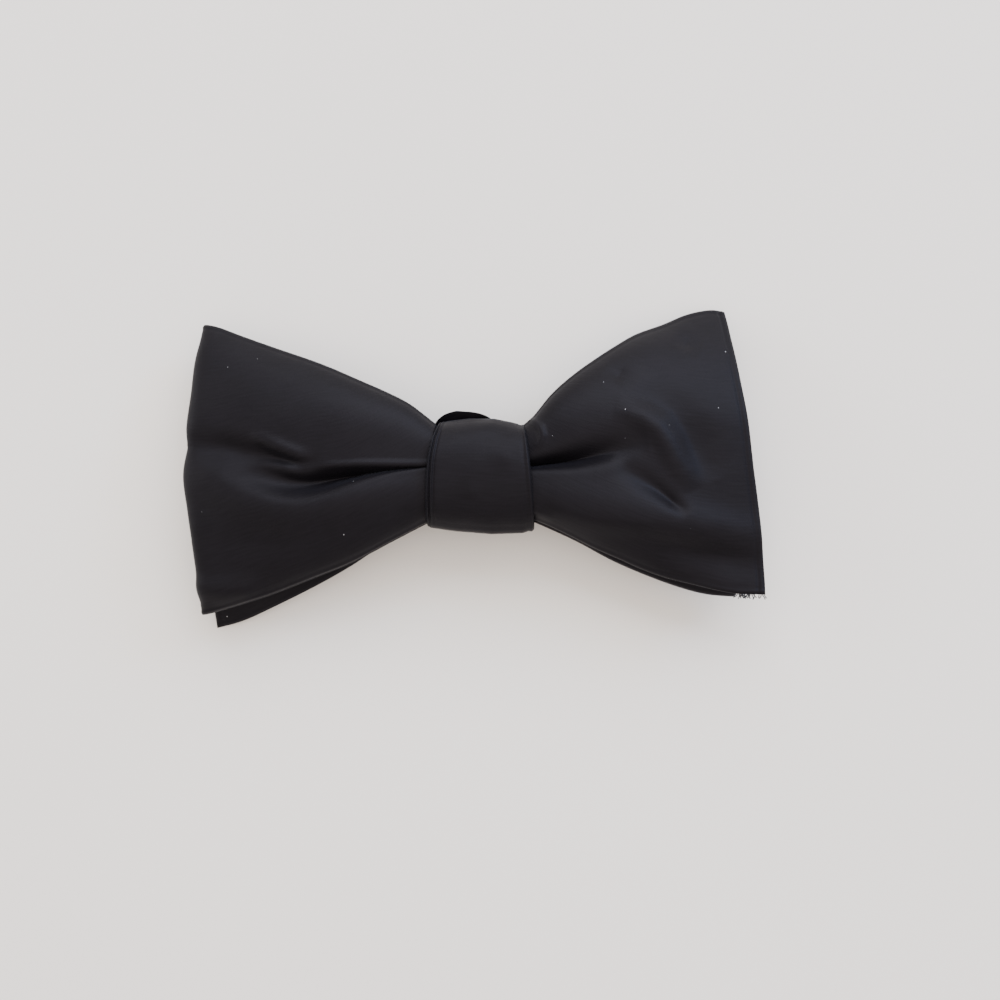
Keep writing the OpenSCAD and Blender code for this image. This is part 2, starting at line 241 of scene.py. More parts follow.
# ---------------------------------------------------------------- meshes
def mesh_object(name, points_mm, faces, material, uv_mm=None):
    """A smooth mesh from points in millimetres; uv_mm has one pair for each point."""
    mesh = bpy.data.meshes.new(name)
    mesh.from_pydata((np.asarray(points_mm) * MM).tolist(), [], faces)
    mesh.validate()
    layer = mesh.uv_layers.new(name="cloth")
    if uv_mm is not None:
        at = np.array([loop.vertex_index for loop in mesh.loops])
        layer.data.foreach_set("uv", (np.asarray(uv_mm)[at] * MM).astype(np.float32).ravel())
    mesh.polygons.foreach_set("use_smooth", [True] * len(mesh.polygons))
    mesh.materials.append(material)
    o = bpy.data.objects.new(name, mesh)
    bpy.context.scene.collection.objects.link(o)
    return o


def unit(v):
    return v / np.maximum(np.linalg.norm(v, axis=-1, keepdims=True), 1e-9)


def reached(points):
    """The distance along a line at each of its points."""
    return np.concatenate([[0], np.cumsum(np.linalg.norm(np.diff(points, axis=0), axis=1))])


def even_normals(p, passes=10):
    """Normals of a grid of points, evened out so that a sheet's sides don't cross in a sharp crease."""
    normal = unit(np.cross(np.gradient(p, axis=0), np.gradient(p, axis=1)))
    for _ in range(passes):
        normal[1:-1] = (normal[:-2] + 2 * normal[1:-1] + normal[2:]) / 4
        normal[:, 1:-1] = (normal[:, :-2] + 2 * normal[:, 1:-1] + normal[:, 2:]) / 4
    return unit(normal)


def closed_sheet(name, mid, thick, material, outward=1, relief=None):
    """A blade of cloth about the middle surface mid, a grid of points. thick is its half thickness at
    each point, 0 all round the border, where its two sides meet in a seam. relief lifts the first side."""
    n, m = mid.shape[:2]
    normal = even_normals(mid) * outward
    top = mid + normal * (thick + (0 if relief is None else relief))[..., None]
    under = mid - normal * thick[..., None]
    border = np.zeros((n, m), bool)
    border[0], border[-1], border[:, 0], border[:, -1] = True, True, True, True
    first = np.arange(n * m).reshape(n, m)
    second = np.where(border, first, 0)
    second[~border] = n * m + np.arange((~border).sum())
    points = np.concatenate([top.reshape(-1, 3), under[~border]])
    run = reached(mid[:, m // 2])
    steps = np.linalg.norm(np.diff(mid, axis=1), axis=2)
    across = np.concatenate([np.zeros((n, 1)), np.cumsum(steps, axis=1)], axis=1)
    uv = np.stack([np.repeat(run[:, None], m, 1), across], -1)
    uv = np.concatenate([uv.reshape(-1, 2), uv[~border]])
    faces = []
    for index, back in ((first, outward < 0), (second, outward > 0)):
        a, b, c, d = index[:-1, :-1], index[1:, :-1], index[1:, 1:], index[:-1, 1:]
        quads = np.stack([a, d, c, b] if back else [a, b, c, d], -1).reshape(-1, 4)
        faces += quads.tolist()
    return mesh_object(name, points, faces, material, uv)


def ring_uv(rings):
    """Cloth coordinates of the points of rings: along them, and round them."""
    along, around = reached(rings[:, 0]), reached(rings[0])
    return np.stack(np.meshgrid(along, around, indexing="ij"), -1).reshape(-1, 2)


def tube(name, rings, material):
    """A closed skin through rings, an array of (ring, point, xyz), capped at both ends."""
    n, m = rings.shape[:2]
    index = np.arange(n * m).reshape(n, m)
    nxt = np.roll(index, -1, axis=1)
    faces = np.stack([index[:-1], nxt[:-1], nxt[1:], index[1:]], -1).reshape(-1, 4).tolist()
    faces += [index[0][::-1].tolist(), index[-1].tolist()]
    return mesh_object(name, rings.reshape(-1, 3), faces, material, ring_uv(rings))


def line_at(points, t, steps=12):
    """Points at t, from 0 to 1, along a Catmull-Rom line through the given points."""
    p = np.asarray(points, float)
    ends = np.vstack([2 * p[0] - p[1], p, 2 * p[-1] - p[-2]])
    fine = []
    for i in range(len(p) - 1):
        a, b, c, d = ends[i:i + 4]
        s = np.linspace(0, 1, steps, endpoint=False)[:, None]
        fine.append(0.5 * (2 * b + (c - a) * s + (2 * a - 5 * b + 4 * c - d) * s ** 2
                           + (3 * b - 3 * c + d - a) * s ** 3))
    fine = np.vstack(fine + [p[-1:]])
    reach = reached(fine)
    at = np.asarray(t) * reach[-1]
    return np.stack([np.interp(at, reach, fine[:, k]) for k in range(p.shape[1])], -1)


def patch(knot, top, outer, bottom, us, vs):
    """Points on a patch between four smooth edge lines; v is -1 along bottom and 1 along top."""
    w = ((vs + 1) / 2)[None, :, None]
    u = us[:, None, None]
    k, e = line_at(knot, (vs + 1) / 2)[None], line_at(outer, (vs + 1) / 2)[None]
    t, b = line_at(top, us)[:, None], line_at(bottom, us)[:, None]
    corners = (1 - w) * ((1 - u) * b[:1] + u * b[-1:]) + w * ((1 - u) * t[:1] + u * t[-1:])
    return (1 - w) * b + w * t + (1 - u) * k + u * e - corners


PATH_POINTS = 60      # points along a fold's path
PATH_PASSES = 3       # how often they are smoothed


def fold(xy, path, heights, above, below, power=2.0):
    """Height of one fold of the cloth at the points xy: a ridge or a valley along path. heights, and the
    widths above and below the path, have one value for each of its points, or are one number."""
    path = np.asarray(path, float)
    share = np.linspace(0, 1, len(path))
    t = np.linspace(0, 1, PATH_POINTS)
    line = np.stack([np.interp(t, share, path[:, k]) for k in (0, 1)], -1)
    for _ in range(PATH_PASSES):
        line[1:-1] = (line[:-2] + 2 * line[1:-1] + line[2:]) / 4
    value = [np.interp(t, share, np.broadcast_to(np.asarray(q, float), len(path)))
             for q in (heights, above, below)]
    flat = xy.reshape(-1, 2)
    way = 1 if path[-1, 0] > path[0, 0] else -1
    best = np.full(len(flat), np.inf)
    out = np.zeros(len(flat))
    for i in range(len(line) - 1):
        a, d = line[i], line[i + 1] - line[i]
        s = np.clip(((flat - a) @ d) / max(d @ d, 1e-9), 0, 1)
        gap = flat - a - s[:, None] * d
        far = np.linalg.norm(gap, axis=1)
        h, up, low = (q[i] + s * (q[i + 1] - q[i]) for q in value)
        width = np.where(way * (d[0] * gap[:, 1] - d[1] * gap[:, 0]) > 0, up, low)
        got = h * np.exp(-(far / width) ** power)
        nearer = far < best
        best = np.where(nearer, far, best)
        out = np.where(nearer, got, out)
    return out.reshape(xy.shape[:-1])


def waves(xy, seed, size, height, count=7):
    """Slight unevenness of the cloth: a few sine waves in random directions."""
    random = np.random.default_rng(seed)
    total = 0
    for _ in range(count):
        angle, phase = random.uniform(0, math.pi), random.uniform(0, 2 * math.pi)
        k = 2 * math.pi / (size * random.uniform(0.7, 1.6))
        total = total + np.sin(k * (xy[..., 0] * math.cos(angle) + xy[..., 1] * math.sin(angle)) + phase)
    return total * height / count


# ---------------------------------------------------------------- levels, from the CAD model
knot_low, knot_high = box_mm("knot_wrap")
band_low, band_high = box_mm("neckband_centre_run")
BLADE_T = 1.2
BAND_GAP = 0.55       # between the neckband and the rear blades
LAYER = 1.9           # from the middle of one blade to the next
REAR_Z = band_high[2] + BAND_GAP + BLADE_T / 2
RETURN_Z = REAR_Z + LAYER
FRONT_Z = RETURN_Z + LAYER
HALF_T = BLADE_T / 2
INSIDE = 8.6          # the blades reach this far from the middle, hidden in the knot

FLAT_HALF = 10        # a blade lies on the neckband up to here, and falls beyond it
FALL_SOFT = 3         # how softly it begins to fall
FALL_REACH = 19.5     # how much further out it has fallen by its full amount
HEM_POWER = 44.0      # how late a hemmed edge closes; a seam closes earlier
SEAM_POWER = 9.0
SEAM_GROOVE = 0.02    # depth of the groove beside a seam
LEAST_LOOP = 1.5      # least distance between the two layers of a loop


def fall(y, most, u):
    """How far a blade falls towards its long edges, off the neckband."""
    past = np.abs(y) - FLAT_HALF
    share = (past + np.sqrt(past ** 2 + FALL_SOFT ** 2)) / 2 / FALL_REACH
    return most * share ** 1.4 * np.sin(u * math.pi / 2)


def dome(u, v):
    """Fullness of a front blade: 3.4 mm at the knot, more halfway and 1.2 mm at its end."""
    return (3.4 + 2.3 * np.sin(math.pi * u) - 2.2 * u) * (1 - v ** 4)


def edge(v, power=SEAM_POWER):
    """Share of the blade's thickness, which closes to nothing at its seams."""
    return np.sqrt(np.maximum(0, 1 - np.abs(v) ** power))


def bell(x, at, width):
    """A smooth bump, 1 high, about x = at."""
    return np.exp(-((x - at) / width) ** 2)


def seam_roll(far, groove):
    """A seam makes a blade fuller close to its edge, with a groove beside it; far is from the edge."""
    return 0.10 * bell(far, 0.6, 0.4) - groove * bell(far, 1.4, 0.35)


# ---------------------------------------------------------------- blades
def spaced(count, ends=0.35):
    """count values from -1 to 1, closer together near the ends."""
    t = np.linspace(-1, 1, count)
    return ends * t + (1 - ends) * np.sin(t * math.pi / 2)


def to_end(count, power=1.35):
    """count values from 0 to 1, closer together near 1."""
    t = np.linspace(0, 1, count)
    return 1 - (1 - t) ** power


def end_blade(name, lines, height, hem_groove, detail, outward):
    """A blade that ends in a hemmed edge. lines are its four edge lines, height gives z at (xy, u, v)."""
    us, vs = to_end(detail[0]), spaced(detail[1])
    xy = patch(*lines, us, vs)
    u, v = np.broadcast_arrays(us[:, None], vs[None, :])
    mid = np.dstack([xy, height(xy, u, v)])
    thick = HALF_T * edge(v) * edge(u, HEM_POWER)
    thick[0] = 0
    half = np.linalg.norm(np.diff(mid, axis=1), axis=2).sum(1)[:, None] / 2
    reach = np.linalg.norm(np.diff(mid, axis=0), axis=2).sum(0)[None, :]
    relief = seam_roll((1 - np.abs(v)) * half, SEAM_GROOVE) + seam_roll((1 - u) * reach, hem_groove)
    return closed_sheet(name, mid, thick, SATIN, outward, relief * (thick > 0))


def even_rows(mid, rows, rim, soft=6.0, passes=22):
    """The same surface with evenly spaced rows, smoothed up to 1.5 times soft from its rim."""
    out = np.empty((rows, mid.shape[1], 3))
    share = np.linspace(0, 1, rows)
    rim_share = 0
    for k in range(mid.shape[1]):
        column = mid[:, k]
        reach = reached(column)
        out[:, k] = np.stack([np.interp(share * reach[-1], reach, column[:, i]) for i in range(3)], -1)
        rim_share += reach[rim] / reach[-1] / mid.shape[1]
    length = reach[-1]
    near = np.clip(1.5 - np.abs(share[1:-1] - rim_share) * length / soft, 0, 1)[:, None, None]
    for _ in range(passes):
        out[1:-1] += near * ((out[:-2] + out[2:]) / 2 - out[1:-1]) * 0.5
    return out


def loop_blade(name, lines, face, back, detail, outward, side):
    """A blade that runs out along the face, round a soft fold and back; side is -1 to the left."""
    us, vs = to_end(detail[0]), spaced(detail[2])
    xy = patch(*lines, us, vs)
    u, v = np.broadcast_arrays(us[:, None], vs[None, :])
    lower = back(xy, u, v)
    upper = np.maximum(face(xy, u, v), lower + LEAST_LOOP)
    turns = np.linspace(0, math.pi, detail[1] + 2)[1:-1]
    rim_low, rim_high, rim = lower[-1], upper[-1], xy[-1]
    radius = (rim_high - rim_low) / 2
    bend = [np.column_stack([rim[:, 0] + side * radius * math.sin(a), rim[:, 1],
                             (rim_low + rim_high) / 2 + radius * math.cos(a)]) for a in turns]
    mid = np.concatenate([np.dstack([xy, upper]), np.array(bend), np.dstack([xy, lower])[::-1]])
    mid = even_rows(mid, 2 * len(us) + len(turns), len(us) + len(turns) // 2)
    thick = np.repeat(HALF_T * edge(vs)[None, :], len(mid), axis=0)
    thick[0] = thick[-1] = 0
    half = np.linalg.norm(np.diff(mid, axis=1), axis=2).sum(1)[:, None] / 2
    relief = seam_roll((1 - np.abs(vs))[None, :] * half, SEAM_GROOVE) * (thick > 0)
    return closed_sheet(name, mid, thick, SATIN, outward, relief)


def left_folds(xy):
    """Folds of the front left wing."""
    # the long crease, a valley that widens away from the knot
    z = fold(xy, [(-7, 0.8), (-11, 0.5), (-16.4, 0.1), (-21.4, -0.5), (-26.5, -1.4), (-30, -2.1), (-34, -2.8),
                  (-38, -2.5), (-42.5, -1.2), (-47, 0.2), (-51, 1.4)],
             [-1.6, -1.8, -2.3, -2.9, -3.3, -3.3, -2.8, -2.1, -1.3, -0.5, 0],
             [0.18, 0.25, 0.5, 0.95, 1.5, 1.9, 2.1, 2.2, 2.4, 2.6, 2.6],
             [0.22, 0.30, 0.6, 1.0, 1.5, 2.0, 2.5, 3.0, 3.5, 4.0, 4.0], 2.4)
    # the thin ridge over its start
    z += fold(xy, [(-8, 1.3), (-16, 1.2), (-23, 1.2), (-29, 1.0), (-34, 0.4)],
              [0.15, 0.35, 0.45, 0.35, 0], 0.5, 0.35)
    # the soft hollow that goes on to the outer edge
    z += fold(xy, [(-31, 1.2), (-36.2, 1.4), (-39.7, 2.4), (-44, 3.4), (-50.4, 4.8), (-57, 5.4)],
              [0, -0.9, -1.5, -1.8, -1.8, -1.0],
              [1.2, 1.2, 1.5, 2.1, 2.4, 2.6], [1.2, 1.4, 1.8, 2.4, 3.0, 3.4])
    # the short bright crease above it, and a low one below
    z += fold(xy, [(-46, 7.4), (-43.2, 5.9), (-40, 4.4), (-36.4, 3.1), (-33, 2.2)],
              [0, 0.5, 0.8, 0.6, 0], 1.3, 0.9)
    z += fold(xy, [(-47, 0.6), (-43, 1.1), (-38.5, 0.3), (-35, -0.6)], [0, 0.4, 0.6, 0], 1.0, 0.9)
    # the wide ridge below the long crease
    z += fold(xy, [(-59, 2.0), (-55.4, -1.0), (-51, -3.4), (-46.6, -5.2), (-41.3, -7.0), (-36, -7.6),
                   (-30, -6.8), (-24, -5.6), (-17.9, -4.4), (-11, -3.6)],
              [0.3, 0.9, 1.3, 1.5, 1.6, 1.6, 1.5, 1.3, 0.9, 0.5], 3.2, 4.6)
    # the fuller lower corner, and the flat part above it
    z += fold(xy, [(-57, -23.6), (-53, -24.0), (-48, -24.0), (-43, -23.0)], [0.8, 1.5, 1.2, 0], 2.6, 3.0)
    z += fold(xy, [(-54, -14), (-40, -14.5), (-28, -13)], [-0.4, -0.5, 0], 4.0, 3.2)
    return z + waves(xy, 3, 15, 0.18)


def right_folds(xy):
    """Folds of the front right wing."""
    # the valley out of the knot
    z = fold(xy, [(7, 0.5), (11, 0.7), (14.8, 1.2), (19.1, 1.8), (22.6, 2.6), (26.9, 3.6), (30.3, 4.3),
                  (34, 4.8)],
             [-3.0, -3.3, -3.5, -3.3, -2.8, -1.9, -1.0, 0],
             [0.9, 1.2, 1.6, 2.1, 2.5, 2.8, 3.0, 3.0], [0.6, 0.8, 1.1, 1.5, 1.8, 2.1, 2.4, 2.4], 1.9)
    # the arc, with a hollow along its outer side
    z += fold(xy, [(28.5, 15.6), (32.2, 14.9), (35.6, 13.9), (39.2, 11.7), (41.6, 7.6), (43.2, 3.7),
                   (44.8, 0.6), (46, -2.6)],
              [0, -0.4, -0.7, -0.9, -0.9, -0.8, -0.5, 0],
              [3.0, 3.6, 4.2, 4.6, 4.6, 4.4, 4.0, 3.6], 2.4)
    z += fold(xy, [(27, 11.6), (30.3, 11.0), (32.9, 9.9), (35.4, 8.0), (37.4, 5.2), (39.0, 1.9), (40.8, -1.2),
                   (42.5, -4.4)], [0, 0.6, 1.0, 1.25, 1.3, 1.1, 0.7, 0], 2.5, 2.2)
    # the slanting crease inside the arc
    z += fold(xy, [(26.5, 1.2), (29.0, -0.2), (31.9, -1.9), (35.3, -4.1), (38.3, -6.7), (41.4, -9.4)],
              [0, -0.5, -0.8, -1.1, -1.2, 0], [2.4, 2.2, 2.0, 1.6, 1.3, 1.2], [2.6, 2.4, 2.2, 1.8, 1.4, 1.2])
    # the broad ridge below, with a hollow under its outer part
    z += fold(xy, [(9, -5.4), (15, -7.2), (22, -9.2), (30, -10.0), (38, -10.6), (46, -12.0), (53, -13.4)],
              [0.7, 1.3, 1.7, 1.8, 1.5, 1.1, 0.6], [4.0, 5.4, 6.4, 6.0, 4.4, 3.6, 3.2], 3.0)
    z += fold(xy, [(33, -14.6), (38, -15.4), (44, -16.6), (51, -17.8), (56, -18.4)],
              [0, -0.8, -1.0, -0.7, -0.2], 2.2, 3.2)
    # the lifted lower corner
    z += fold(xy, [(34, -23.6), (41, -25.6), (48, -26.8), (59, -27.4)], [0, 1.6, 2.8, 3.0], 5.6, 4.0)
    # two dimples under the upper edge
    z += fold(xy, [(25.4, 20.4), (28.3, 18.9), (31.4, 16.8)], [0, -0.7, 0], 2.2, 1.8)
    z += fold(xy, [(39.6, 27.6), (42.6, 26.2), (45.4, 25.2)], [0, -0.5, 0], 2.0, 1.8)
    # the pinch beside the knot, and a tuck below it
    z += fold(xy, [(9.6, 10.4), (11.2, 9.6), (12.5, 8.2), (12.9, 6.6), (12.5, 5.2), (11.4, 4.2)],
              [0.5, 0.7, 0.7, 0.55, 0.35, 0.1], 0.7, 0.7)
    z += fold(xy, [(11.5, -8.2), (14.0, -9.2)], [0.6, 0.3], 1.0, 0.9)
    return z + waves(xy, 8, 14, 0.2)


# How far the long edges of each blade fall towards the floor
FRONT_LEFT_FALL, LEFT_RETURN_FALL, REAR_LEFT_FALL = 4.4, 4.6, 7.2
FRONT_RIGHT_FALL, REAR_RIGHT_FALL = 6.8, 7.8
FINENESS = 1.0


def count(most):
    return max(12, int(most * FINENESS))


def front_right_height(xy, u, v):
    """Height of the front right blade; its lower half falls less towards its end, with a lifted corner."""
    lifted = np.where(v < 0, 1 - 0.7 * u, 1)
    return FRONT_Z - fall(xy[..., 1], FRONT_RIGHT_FALL, u) * lifted + dome(u, v) + right_folds(xy)


# Each blade: its inner, upper, outer and lower edge, its heights, and how finely it is divided.
front_left = loop_blade(
    "front_left_wing_loop",
    ([(-INSIDE, -9.4), (-INSIDE, 9.4)],
     [(-INSIDE, 9.4), (-11.4, 11.7), (-14.6, 14.1), (-19, 16.4), (-24.9, 19.1), (-32.7, 22.6), (-42, 26.1),
      (-50.1, 29.2), (-55.2, 31.3), (-58.3, 32.1)],
     [(-57.1, -29.1), (-56.6, -27.2), (-56.3, -24.8), (-57.1, -15), (-58.4, -4.6), (-58.7, 0.6),
      (-58.7, 6.7), (-58.6, 9.8), (-58.2, 16.3), (-58.1, 23.0), (-57.9, 28.5), (-58.3, 32.1)],
     [(-INSIDE, -9.4), (-11, -10.6), (-17, -13.7), (-26.1, -18.4), (-34, -21.5), (-41.6, -24.4), (-49, -26.8),
      (-57.1, -29.1)]),
    lambda xy, u, v: FRONT_Z - fall(xy[..., 1], FRONT_LEFT_FALL, u) + dome(u, v) + left_folds(xy),
    lambda xy, u, v: RETURN_Z - fall(xy[..., 1], LEFT_RETURN_FALL, u) + waves(xy, 5, 16, 0.2),
    (count(118), 14, count(190)), -1, -1)

front_right = end_blade(
    "front_right_wing_end",
    ([(INSIDE, -9.2), (INSIDE, 9.0)],
     [(INSIDE, 9.0), (11.1, 11.1), (14.9, 15.9), (19.2, 19.9), (23.5, 23.2), (27.9, 26.3), (32.3, 29.1),
      (38, 31.5), (42.5, 33.7), (46.1, 34.8), (48.9, 35.1), (51.2, 34.6)],
     [(56.9, -24.9), (56.9, -20.6), (56.4, -13.4), (55.7, -5.7), (55.0, 0.4), (54.1, 10), (53.0, 18.9),
      (52.0, 27.5), (51.6, 31.6), (51.2, 34.6)],
     [(INSIDE, -9.2), (11.2, -9.9), (14.8, -11.4), (19.1, -13.5), (23.4, -15.7), (28.2, -17.8), (32.9, -19.9),
      (37.7, -21.6), (42.9, -22.9), (47.3, -24.0), (51.2, -24.7), (56.9, -24.9)]),
    front_right_height, 0.15, (count(190), count(190)), 1)

rear_left = end_blade(
    "rear_left_wing_end",
    ([(-INSIDE, -9.0), (-INSIDE, 9.0)],
     [(-INSIDE, 9.0), (-20, 15.2), (-35, 21.4), (-48, 25.6), (-55.4, 28.0)],
     [(-56.3, -31.9), (-56.7, -20), (-57.2, -5), (-57.0, 10), (-55.4, 28.0)],
     [(-INSIDE, -9.0), (-17, -12.8), (-26.3, -18.7), (-34.8, -23.3), (-45.4, -28.2), (-51, -30.5),
      (-56.3, -31.9)]),
    lambda xy, u, v: REAR_Z - fall(xy[..., 1], REAR_LEFT_FALL, u) + waves(xy, 11, 15, 0.25),
    0.10, (count(90), count(100)), -1)

rear_right = loop_blade(
    "rear_right_wing_loop",
    ([(INSIDE, -9.0), (INSIDE, 9.0)],
     [(INSIDE, 9.0), (20, 17.6), (32, 24.6), (43, 28.4), (49, 29.6)],
     [(52.2, -25.3), (52.8, -12), (52.4, 4), (51.0, 18), (49, 29.6)],
     [(INSIDE, -9.0), (19, -13.7), (28, -18.4), (38, -22.4), (46, -24.7), (52.2, -25.3)]),
    lambda xy, u, v: RETURN_Z - fall(xy[..., 1], REAR_RIGHT_FALL, u) + waves(xy, 13, 15, 0.2),
    lambda xy, u, v: REAR_Z - fall(xy[..., 1], REAR_RIGHT_FALL, u) + waves(xy, 17, 15, 0.2),
    (count(90), 12, count(100)), 1, 1)

PLEAT_REACH = INSIDE + 0.6
PLEAT_HALF = 9.0


def pleats(name, z, rise):
    """The gathered middle of a layer, which joins its wings inside the knot, creased along its middle."""
    along = np.linspace(-PLEAT_REACH, PLEAT_REACH, 24)
    x, v = np.broadcast_arrays(along[:, None], spaced(60)[None, :])
    crease = 1 - 0.95 * bell(v, 0, 0.16)
    mid = np.dstack([x, v * PLEAT_HALF, z + rise * (1 - v ** 4) * crease])
    thick = HALF_T * edge(v) * np.ones_like(x)
    thick[0] = thick[-1] = 0
    return closed_sheet(name, mid, thick, SATIN)


for name, z, rise, node in (("front_pleats", FRONT_Z, 3.2, "front_centre_pleats"),
                            ("rear_pleats", REAR_Z + 0.9, 0.4, "rear_centre_pleats")):
    o = pleats(name, z, rise)
    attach(o, "bow_centre")
    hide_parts(node)

# ---------------------------------------------------------------- knot
KNOT_MID = (knot_low[2] + knot_high[2]) / 2
KNOT_DEPTH = knot_high[2] - knot_low[2]
KNOT_HALF = 10.3      # half of the wrap's width, along x
KNOT_WIDTH = 2 * KNOT_HALF
FACE_POWER, REAR_POWER = 2.3, 5.0      # of its section's superellipse: the rear is squarer than the face


def knot_ring(t, inset, points=132):
    """One ring round the knot, t from 0 at its left edge to 1 at its right edge."""
    a = np.linspace(0, 2 * math.pi, points, endpoint=False)
    c, s = np.cos(a), np.sin(a)
    power = np.where(s > 0, 2 / FACE_POWER, 2 / REAR_POWER)
    y = np.sign(c) * np.abs(c) ** power
    z = np.sign(s) * np.abs(s) ** power
    x_mid = -KNOT_HALF + KNOT_WIDTH * t
    top = np.interp(x_mid, [-KNOT_HALF, -8, -3, 3, 7, KNOT_HALF], [10.0, 10.4, 10.9, 10.8, 10.1, 9.3])
    bottom = np.interp(x_mid, [-KNOT_HALF, -5, 2, 8, KNOT_HALF], [11.2, 12.0, 12.6, 12.4, 11.8])
    y = np.where(y > 0, y * (top - inset), y * (bottom - inset))
    z = z * (KNOT_DEPTH / 2 - inset)
    z = z + np.where(z > 0, 0.5 - 1.5 * (y / 11.5) ** 2, 0) * np.clip(z / 3, 0, 1)      # a fuller face
    left = np.interp(y, [-11, -8, -2, 2, 6, 9, 11], [-10.5, -10.5, -10.3, -10.0, -9.3, -8.4, -8.0])
    right = np.interp(y, [-11, -6, 0, 5, 8, 11], [11.1, 11.0, 10.5, 10.0, 9.5, 9.2])
    return np.column_stack([left + (right - left) * t, y, KNOT_MID + z])


def shell(name, low, high, wall, inset, material, relief=None, stations=90):
    """A closed band round the knot with rolled edges: out along its outer side, back along its inner one."""
    turn = np.cos(math.pi * np.linspace(0, 1, stations))
    t = 0.5 - 0.5 * turn * (0.55 + 0.45 * np.abs(turn))      # closer together near both edges
    span = (high - low) * KNOT_WIDTH
    rings = []
    lip = wall * 0.9
    for side in (0, 1):
        for k in (t if side == 0 else t[::-1]):
            from_end = min(k, 1 - k) * span
            round_off = lip * (1 - math.sqrt(max(0, 1 - max(0, 1 - from_end / lip) ** 2)))
            depth = inset + (round_off * 0.55 if side == 0 else wall - round_off * 0.35)
            ring = knot_ring(low + (high - low) * k, depth)
            if relief is not None and side == 0:
                ring = ring + relief(ring, k * span, (1 - k) * span)
            rings.append(ring)
    rings = np.array(rings)
    n, m = rings.shape[:2]
    index = np.arange(n * m).reshape(n, m)
    nxt_ring, nxt_point = np.roll(index, -1, 0), np.roll(index, -1, 1)
    both = np.roll(nxt_ring, -1, 1)
    faces = np.stack([index, nxt_ring, both, nxt_point], -1).reshape(-1, 4).tolist()
    return mesh_object(name, rings.reshape(-1, 3), faces, material, ring_uv(rings))


def knot_relief(ring, from_left, from_right):
    """The double fold line at the knot's left edge, its slight hollows and its creases."""
    out = ring - np.array([0, 0, KNOT_MID])
    out[:, 0] = 0
    out = unit(out)
    y, z = ring[:, 1], ring[:, 2]
    face = np.clip((z - KNOT_MID) / 3, 0, 1)
    lines = (0.32 * bell(from_left, 0.35, 0.18) + 0.28 * bell(from_left, 1.05, 0.16)
             - 0.18 * bell(from_left, 0.70, 0.14) - 0.14 * bell(from_left, 1.45, 0.22))
    lift = lines * face
    xy = np.column_stack([ring[:, 0], y])
    lift = lift + face * (fold(xy, [(-3.5, -8), (-1.2, -4.6), (0.4, -3.0)], [0, 0.22, 0], 1.2, 1.2)
                          + fold(xy, [(-8, 3), (-4, 6.5), (1, 8)], [0.1, 0.3, 0.1], 2.2, 2.2)
                          + fold(xy, [(2, 4), (5.5, 2), (8, -1)], [0, 0.2, 0], 1.8, 1.8)
                          + fold(xy, [(-6, -5), (-2, -6.5), (4, -6)], [0, -0.2, 0], 1.6, 1.6)
                          + waves(xy, 21, 6, 0.16))
    lift = lift + 0.14 * bell(from_right, 0.45, 0.3) - 0.10 * bell(from_right, 1.2, 0.4)
    return out * lift[:, None]


knot = shell("knot_wrap_satin", 0.0, 1.0, 0.8, 0.0, SATIN_KNOT, knot_relief, 120)
lining = shell("knot_lining_band", 0.12, 0.88, 0.3, 0.83, CANVAS, None, 24)

TAIL_MID, TAIL_HALF = -2.9, 6.3      # its middle and half its width, along x
TAIL_FOOT = 8.8                      # y of its lower edge, inside the knot


def wrap_tail(name, stations=48, points=28):
    """The turned-in end of the wrap, which stands up behind the top of the knot."""
    a = np.linspace(0, 2 * math.pi, points, endpoint=False)
    out = 0.5 + 0.5 * np.cos(a)
    rings = []
    for t in np.sin(np.linspace(-math.pi / 2, math.pi / 2, stations)) * 0.998:
        x = TAIL_MID + TAIL_HALF * t
        full = (1 - abs(t) ** 3.4) ** (1 / 2.2)
        lobe = np.interp(t, [-1, -0.65, -0.3, 0.1, 0.5, 1], [0.80, 0.98, 1.09, 1.02, 0.92, 0.78])
        reach = 9.0 + 3.3 * full * lobe
        half = 0.10 + 0.36 * full
        y = TAIL_FOOT + (reach - TAIL_FOOT) * out
        z = KNOT_MID - 2.2 + 2.0 * out ** 2 + half * np.sin(a) + 0.22 * math.sin(0.8 * x + 2.2)
        rings.append(np.column_stack([np.full(points, x), y, z]))
    return tube(name, np.array(rings), SATIN_KNOT)


tail = wrap_tail("knot_wrap_tail")

STITCH_SIDES = 8
STITCH_SHAPE = ((0, 0.25), (0.12, 0.8), (0.5, 1.0), (0.88, 0.8), (1, 0.25))      # place, share of its radius


def stitches(name, rows, radius=0.14):
    """Short rounded stitches in one mesh. rows holds the two end points of each, in millimetres."""
    points, faces = [], []
    sides = STITCH_SIDES
    a = np.linspace(0, 2 * math.pi, sides, endpoint=False)
    for start, end in rows:
        start, end = np.asarray(start, float), np.asarray(end, float)
        d = unit(end - start)
        side = unit(np.cross(d, [0.3, 0.2, 1.0]))
        up = np.cross(side, d)
        base = len(points)
        for share, r in STITCH_SHAPE:
            centre = start + (end - start) * share
            points += (centre + radius * r * (np.cos(a)[:, None] * side + np.sin(a)[:, None] * up)).tolist()
        last = base + (len(STITCH_SHAPE) - 1) * sides
        for q in range(base, last, sides):
            for i in range(sides):
                j = (i + 1) % sides
                faces.append((q + i, q + j, q + sides + j, q + sides + i))
        faces.append(tuple(base + i for i in reversed(range(sides))))
        faces.append(tuple(last + i for i in range(sides)))
    return mesh_object(name, points, faces, THREAD)


SEAM_STITCHES = 9
SEAM_LOW, SEAM_BACK = 11.6, 4.6      # how far the seam lies below and behind the knot's middle


